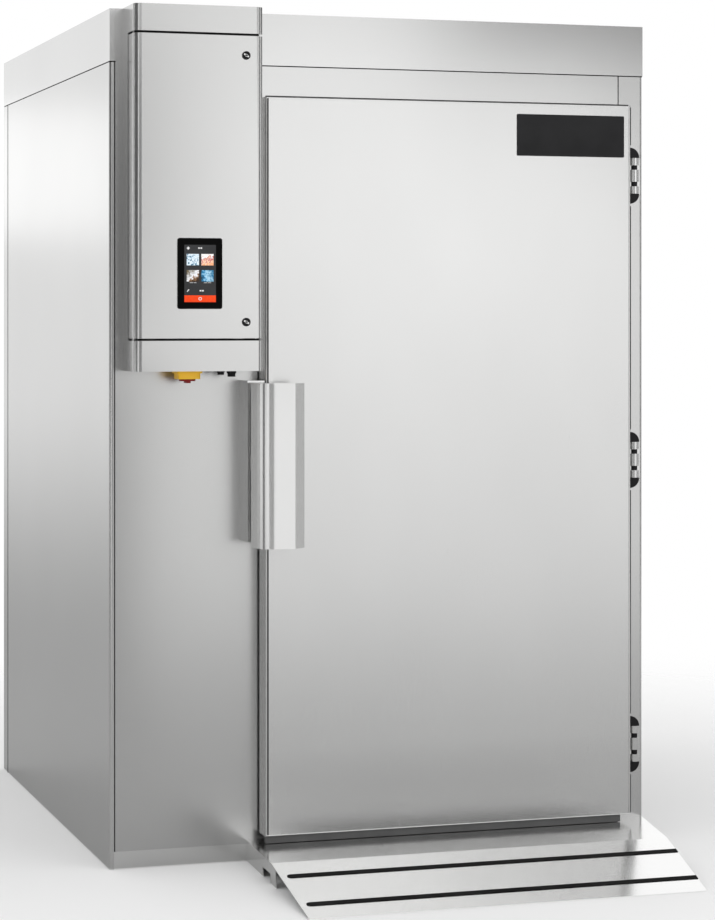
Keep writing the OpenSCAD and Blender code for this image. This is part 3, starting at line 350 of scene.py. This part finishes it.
# touch screen: picture tiles, small marks and a long key below, all thin slabs on the screen
screenLow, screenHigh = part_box("display_screen")
screenLook = {
    "thick": 0.00012,
    "tile": (0.0325, 0.0295),
    "tileX": (-0.0194, 0.0194),
    "tileZ": (0.0357, -0.0060),
    "keyHeight": 0.0174,
    "keyInset": 0.0002,
    "ring": (0.0044, 0.0027),
    "marks": [  # across, up, width, height, turn
        (-0.0315, 0.0652, 0.0062, 0.0062, 45),
        (-0.0030, 0.0656, 0.0042, 0.0040, 0),
        (0.0030, 0.0656, 0.0042, 0.0040, 0),
        (-0.0320, -0.0440, 0.0072, 0.0024, -50),
        (0.0010, -0.0444, 0.0046, 0.0034, 0),
        (0.0072, -0.0444, 0.0046, 0.0034, 0),
        (-0.0230, -0.0238, 0.0090, 0.0010, 0),
        (-0.0135, -0.0238, 0.0070, 0.0010, 0),
        (0.0140, -0.0238, 0.0080, 0.0010, 0),
        (0.0245, -0.0238, 0.0090, 0.0010, 0),
    ],
    "keyColors": [(0.2, (0.80, 0.050, 0.010)), (0.8, (0.88, 0.075, 0.014))],
    "markColors": [(0.2, (0.62, 0.62, 0.62)), (0.8, (0.80, 0.80, 0.80))],
    "blotchScale": 190.0,
    "glow": 0.12,
    "rough": 0.15,
    "gloss": 0.1,
}
screenX = (screenLow[0] + screenHigh[0]) / 2
screenZ = (screenLow[2] + screenHigh[2]) / 2
thick = screenLook["thick"]
screenFront = screenLow[1] - thick


# a lit face: a slope of colours across the tile, broken up by blotches
def pictureFace(name, center, lean, mottle, stops):
    mat, tree, bsdf = newMaterial(name)
    coords = tree.nodes.new("ShaderNodeTexCoord")
    offset = tree.nodes.new("ShaderNodeVectorMath")
    offset.operation = "SUBTRACT"
    offset.inputs[1].default_value = center
    tree.links.new(coords.outputs["Object"], offset.inputs[0])
    along = tree.nodes.new("ShaderNodeVectorMath")
    along.operation = "DOT_PRODUCT"
    along.inputs[1].default_value = lean
    tree.links.new(offset.outputs["Vector"], along.inputs[0])
    blotch = spread(tree, noise(tree, (screenLook["blotchScale"],) * 3, 2.0), 0.5 - mottle, 0.5 + mottle)
    total = tree.nodes.new("ShaderNodeMath")
    total.operation = "ADD"
    tree.links.new(along.outputs["Value"], total.inputs[0])
    tree.links.new(blotch, total.inputs[1])
    color = colorRamp(tree, total.outputs["Value"], stops)
    tree.links.new(color, bsdf.inputs["Base Color"])
    tree.links.new(color, bsdf.inputs["Emission Color"])
    bsdf.inputs["Emission Strength"].default_value = screenLook["glow"]
    bsdf.inputs["Roughness"].default_value = screenLook["rough"]
    bsdf.inputs["Specular IOR Level"].default_value = screenLook["gloss"]
    return mat


def slab(bm, x, z, width, height, front, thick, turn=0.0):
    made = bmesh.ops.create_cube(bm, size=1.0)
    bmesh.ops.scale(bm, vec=(width, thick, height), verts=made["verts"])
    turned = Matrix.Rotation(math.radians(turn), 3, "Y")
    bmesh.ops.rotate(bm, cent=(0, 0, 0), matrix=turned, verts=made["verts"])
    bmesh.ops.translate(bm, vec=(x, front + thick / 2, z), verts=made["verts"])


def disc(bm, x, z, radius, front, thick, sides=24):
    turned = Matrix.Rotation(math.radians(90), 4, "X")
    made = bmesh.ops.create_cone(bm, cap_ends=True, segments=sides, radius1=radius, radius2=radius,
                                 depth=thick, matrix=turned)
    bmesh.ops.translate(bm, vec=(x, front + thick / 2, z), verts=made["verts"])


tileLooks = [  # name, slope of the colours, blotchiness, colours
    ("tileIce", (0, 0, 4), 0.50, [
        (0.15, (0.08, 0.18, 0.26)), (0.35, (0.34, 0.52, 0.66)),
        (0.55, (0.86, 0.92, 0.96)), (0.85, (0.55, 0.72, 0.86))]),
    ("tileWarm", (-6, 0, 26), 0.32, [
        (0.12, (0.90, 0.42, 0.22)), (0.36, (0.95, 0.72, 0.55)),
        (0.52, (0.50, 0.02, 0.02)), (0.70, (0.92, 0.90, 0.88))]),
    ("tileCrust", (-16, 0, 20), 0.18, [
        (0.10, (0.05, 0.03, 0.02)), (0.34, (0.30, 0.17, 0.09)),
        (0.50, (0.88, 0.90, 0.94)), (0.92, (0.16, 0.13, 0.08))]),
    ("tileBlue", (24, 0, 6), 0.20, [
        (0.08, (0.02, 0.05, 0.08)), (0.30, (0.04, 0.26, 0.50)),
        (0.52, (0.42, 0.68, 0.84)), (0.85, (0.03, 0.18, 0.34))]),
]
tilePlaces = [(screenX + dx, screenZ + dz) for dz in screenLook["tileZ"] for dx in screenLook["tileX"]]
for (name, lean, mottle, stops), (x, z) in zip(tileLooks, tilePlaces):
    bm = bmesh.new()
    slab(bm, x, z, *screenLook["tile"], screenFront, thick)
    face = pictureFace(name, (x, screenFront, z), lean, mottle, stops)
    meshObject(name, bm, face, "control_cover")

keyHeight, keyInset = screenLook["keyHeight"], screenLook["keyInset"]
keyWidth = screenHigh[0] - screenLow[0] - 2 * keyInset
keyZ = screenLow[2] + keyHeight / 2 + keyInset
keyCenter = (screenX, screenFront, keyZ)
keyMat = pictureFace("keyOrange", keyCenter, (0, 0, 12), 0.2, screenLook["keyColors"])
markMat = pictureFace("markPale", keyCenter, (0, 0, 0), 0.4, screenLook["markColors"])
ringRadius, heartRadius = screenLook["ring"]

bm = bmesh.new()
slab(bm, screenX, keyZ, keyWidth, keyHeight, screenFront, thick)
meshObject("screenKey", bm, keyMat, "control_cover")

bm = bmesh.new()
disc(bm, screenX, keyZ, ringRadius, screenFront - thick, thick)
for dx, dz, width, height, turn in screenLook["marks"]:
    slab(bm, screenX + dx, screenZ + dz, width, height, screenFront, thick, turn)
meshObject("screenMarks", bm, markMat, "control_cover")

bm = bmesh.new()
disc(bm, screenX, keyZ, heartRadius, screenFront - 2 * thick, thick)
meshObject("screenKeyHeart", bm, keyMat, "control_cover")
print("screen dressed")

# locks: a bright double bit in each black head
lockLook = {"bar": (0.0146, 0.0041), "post": 0.0034, "eye": 0.0012, "turn": 30.0, "thick": 0.0003}
for lock in ("lock_upper", "lock_lower"):
    low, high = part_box(lock)
    radius = (high[0] - low[0]) / 2
    x, z, front = low[0] + radius, low[2] + radius, low[1] - lockLook["thick"] / 2
    bm = bmesh.new()
    slab(bm, x, z, *lockLook["bar"], front, lockLook["thick"], lockLook["turn"])
    disc(bm, x, z, lockLook["post"], front, lockLook["thick"])
    meshObject(lock + "Bit", bm, mats["pinSteel"], lock)
    bm = bmesh.new()
    disc(bm, x, z, lockLook["eye"], front - lockLook["thick"] / 3, lockLook["thick"])
    meshObject(lock + "Eye", bm, mats["hingePlastic"], lock)
print("locks dressed")


# stage, light and camera

studio = {
    "background": 1.0,
    "fillLight": 1.0,
    "floorColor": (0.93, 0.93, 0.93),
    "floorMottle": (1.5, 0.995),
    "floorRough": 0.9,
    "floorGloss": 0.1,
    "floorRadius": 7.0,
    "floorSides": 64,
    "floorFade": (1.5, 3.8),
    "weave": (30.0, 1.1),
    "clothReach": 32.0,
    "clothTones": [(1.6, 0.51), (3.5, 0.47), (5.2, 0.47), (7.4, 0.53), (11.0, 0.66), (16.0, 0.80),
                   (30.0, 1.0)],
}


def seenRays(tree):  # 1 for rays from the eye, from metal and through glass
    rays = tree.nodes.new("ShaderNodeLightPath")
    total = rays.outputs["Is Camera Ray"]
    for kind in ("Is Glossy Ray", "Is Transmission Ray"):
        larger = tree.nodes.new("ShaderNodeMath")
        larger.operation = "MAXIMUM"
        tree.links.new(total, larger.inputs[0])
        tree.links.new(rays.outputs[kind], larger.inputs[1])
        total = larger.outputs["Value"]
    return total


def buildWorld():
    world = bpy.data.worlds.new("studioWorld")
    bpy.context.scene.world = world
    world.use_nodes = True
    tree = world.node_tree
    tree.nodes.clear()
    out = tree.nodes.new("ShaderNodeOutputWorld")
    mix = tree.nodes.new("ShaderNodeMixShader")
    seen = tree.nodes.new("ShaderNodeBackground")  # what the eye, metal and glass see
    seen.inputs["Color"].default_value = (1, 1, 1, 1)
    seen.inputs["Strength"].default_value = studio["background"]
    fill = tree.nodes.new("ShaderNodeBackground")  # what lights the matt surfaces
    fill.inputs["Color"].default_value = (1, 1, 1, 1)
    fill.inputs["Strength"].default_value = studio["fillLight"]
    tree.links.new(seenRays(tree), mix.inputs["Fac"])
    tree.links.new(fill.outputs["Background"], mix.inputs[1])
    tree.links.new(seen.outputs["Background"], mix.inputs[2])
    tree.links.new(mix.outputs["Shader"], out.inputs["Surface"])


def stagePlane(name, corners, mat):
    mesh = bpy.data.meshes.new(name)
    mesh.from_pydata(corners, [], [tuple(range(len(corners)))])
    obj = bpy.data.objects.new(name, mesh)
    bpy.context.collection.objects.link(obj)
    mesh.materials.append(mat)
    return obj


def distanceFromMiddle(tree):
    coords = tree.nodes.new("ShaderNodeTexCoord")
    reach = tree.nodes.new("ShaderNodeVectorMath")
    reach.operation = "LENGTH"
    tree.links.new(coords.outputs["Object"], reach.inputs[0])
    return reach.outputs["Value"]


def clearWhere(tree, bsdf, share):  # see-through where the share is 1
    clear = tree.nodes.new("ShaderNodeBsdfTransparent")
    mix = tree.nodes.new("ShaderNodeMixShader")
    tree.links.new(share, mix.inputs["Fac"])
    tree.links.new(bsdf.outputs["BSDF"], mix.inputs[1])
    tree.links.new(clear.outputs["BSDF"], mix.inputs[2])
    tree.links.new(mix.outputs["Shader"], tree.nodes["Material Output"].inputs["Surface"])


def floorMaterial():  # pale floor that fades into the white background
    mat, tree, bsdf = newMaterial("floorPale")
    scale, dip = studio["floorMottle"]
    mottle = noise(tree, (scale,) * 3, 2.0)
    color = studio["floorColor"]
    tree.links.new(tintBetween(tree, mottle, shade(color, dip), color), bsdf.inputs["Base Color"])
    bsdf.inputs["Roughness"].default_value = studio["floorRough"]
    bsdf.inputs["Specular IOR Level"].default_value = studio["floorGloss"]
    fade = tree.nodes.new("ShaderNodeMapRange")
    fade.interpolation_type = "SMOOTHSTEP"
    fade.inputs["From Min"].default_value, fade.inputs["From Max"].default_value = studio["floorFade"]
    tree.links.new(distanceFromMiddle(tree), fade.inputs["Value"])
    clearWhere(tree, bsdf, fade.outputs["Result"])
    return mat


def mattCloth(name):
    mat, tree, bsdf = newMaterial(name)
    bsdf.inputs["Roughness"].default_value = 1.0
    bsdf.inputs["Specular IOR Level"].default_value = 0.0
    return mat, tree, bsdf


def flagMaterial(name, grey, oneSided=False):  # cloth of the flags that shape the reflections
    mat, tree, bsdf = mattCloth(name)
    scale, lift = studio["weave"]
    weave = noise(tree, (scale,) * 3, 2.0)
    tree.links.new(tintBetween(tree, weave, (grey,) * 3, (grey * lift,) * 3), bsdf.inputs["Base Color"])
    if oneSided:  # clear from the back
        side = tree.nodes.new("ShaderNodeNewGeometry")
        clearWhere(tree, bsdf, side.outputs["Backfacing"])
    return mat


def floorCloth():  # the floor as the metal sees it, paler with distance
    mat, tree, bsdf = mattCloth("floorCloth")
    reach = studio["clothReach"]
    share = tree.nodes.new("ShaderNodeMath")
    share.operation = "DIVIDE"
    share.inputs[1].default_value = reach
    tree.links.new(distanceFromMiddle(tree), share.inputs[0])
    tones = [(distance / reach, (grey,) * 3) for distance, grey in studio["clothTones"]]
    tree.links.new(colorRamp(tree, share.outputs["Value"], tones), bsdf.inputs["Base Color"])
    return mat


def flag(name, corners, mat):
    obj = stagePlane(name, corners, mat)
    obj.visible_camera = False
    obj.visible_shadow = False
    obj.visible_diffuse = False


def wallFlag(name, start, end, low, high, mat):  # upright flag over a line on the floor
    flag(name, [(*start, low), (*end, low), (*end, high), (*start, high)], mat)


def levelFlag(name, low, high, z, mat):
    flag(name, [(low[0], low[1], z), (low[0], high[1], z), (high[0], high[1], z), (high[0], low[1], z)], mat)


def softbox(name, place, target, size, glow):  # glow is what a mirror would show of it, 1 is white
    light = bpy.data.lights.new(name, "AREA")
    light.shape = "RECTANGLE"
    light.size, light.size_y = size
    light.energy = glow * math.pi * size[0] * size[1]
    lamp = bpy.data.objects.new(name, light)
    lamp.location = place
    lamp.rotation_euler = (Vector(target) - Vector(place)).to_track_quat("-Z", "Y").to_euler()
    bpy.context.collection.objects.link(lamp)


buildWorld()
radius, sides = studio["floorRadius"], studio["floorSides"]
angles = [2 * math.pi * side / sides for side in range(sides)]
stagePlane("floor", [(radius * math.cos(a), radius * math.sin(a), 0.0) for a in angles], floorMaterial())

cloths = {
    "pale": flagMaterial("paleCloth", 0.55),
    "mid": flagMaterial("midCloth", 0.25),
    "dark": flagMaterial("darkCloth", 0.12),
    "under": flagMaterial("underCloth", 0.07, oneSided=True),
    "floor": floorCloth(),
}
levelFlags = [  # name, near left corner, far right corner, height, cloth
    ("floorFlag", (-16.0, -5.4), (4.0, 30.0), 0.003, "floor"),
    ("roofFlag", (-1.0, -1.9), (2.5, 0.9), 4.6, "dark"),
]
rampFlag = [(-0.15, -1.5, 0.3), (0.93, -1.5, 0.3), (2.2, -4.6, 0.3), (0.7, -4.6, 0.3)]  # faces down
wallFlags = [  # name, start and end on the floor, bottom, top, cloth
    ("panelFlag", (-0.95, -2.0), (-0.42, -2.0), 0.0, 1.27, "pale"),
    ("frontFlag", (0.2, -6.3), (0.62, -6.3), 1.45, 3.0, "mid"),
    ("cameraFlag", (-4.3, -6.4), (-0.5, -6.4), 0.2, 2.9, "mid"),
    ("fasciaFlag", (2.2, -6.5), (4.4, -6.5), 2.72, 3.9, "dark"),
    ("leverFlag", (-4.4, -2.5), (-4.4, -1.3), 0.0, 1.3, "dark"),
    ("cornerFlag", (-4.4, -4.3), (-4.4, 0.2), 1.3, 3.6, "dark"),
    ("leftFlag", (-4.4, 0.9), (-4.4, 3.2), 0.0, 3.6, "dark"),
    ("rightFlag", (5.0, -4.8), (5.0, -2.4), 0.0, 4.0, "dark"),
    ("edgeFlag", (5.0, -0.9), (5.0, 4.5), 0.0, 4.0, "dark"),
]
softboxes = [  # name, place, target, size, glow
    ("frontBox", (1.8, -6.2, 2.1), (0.2, -0.8, 1.6), (2.2, 1.5), 0.35),
    ("leftBox", (-2.3, 6.5, 2.22), (-0.755, 0.0, 1.85), (2.4, 0.7), 0.42),
    ("highBox", (1.2, -5.6, 4.2), (0.2, -0.8, 0.6), (4.0, 1.6), 0.6),
]
for *placing, cloth in levelFlags:
    levelFlag(*placing, cloths[cloth])
flag("rampFlag", rampFlag, cloths["under"])
for *placing, cloth in wallFlags:
    wallFlag(*placing, cloths[cloth])
for box in softboxes:
    softbox(*box)

lens = {
    "place": (-2.20108, -7.54253, 1.4576),
    "yaw": -17.4893,
    "focalPixels": 2630.31,
    "horizonRow": 311.84,
    "frameHeight": 920,
    "sensor": 36.0,
    "clipEnd": 100.0,
}


def buildCamera():
    height = lens["frameHeight"]
    data = bpy.data.cameras.new("photoCamera")
    data.sensor_fit = "VERTICAL"
    data.sensor_height = lens["sensor"]
    data.lens = lens["focalPixels"] / height * lens["sensor"]
    data.shift_y = (lens["horizonRow"] - height / 2) / height
    data.clip_end = lens["clipEnd"]
    camera = bpy.data.objects.new("photoCamera", data)
    camera.location = lens["place"]
    camera.rotation_euler = (math.radians(90), 0.0, math.radians(lens["yaw"]))
    bpy.context.collection.objects.link(camera)
    bpy.context.scene.camera = camera


buildCamera()
bpy.context.scene.view_settings.view_transform = "Standard"
print("stage set")
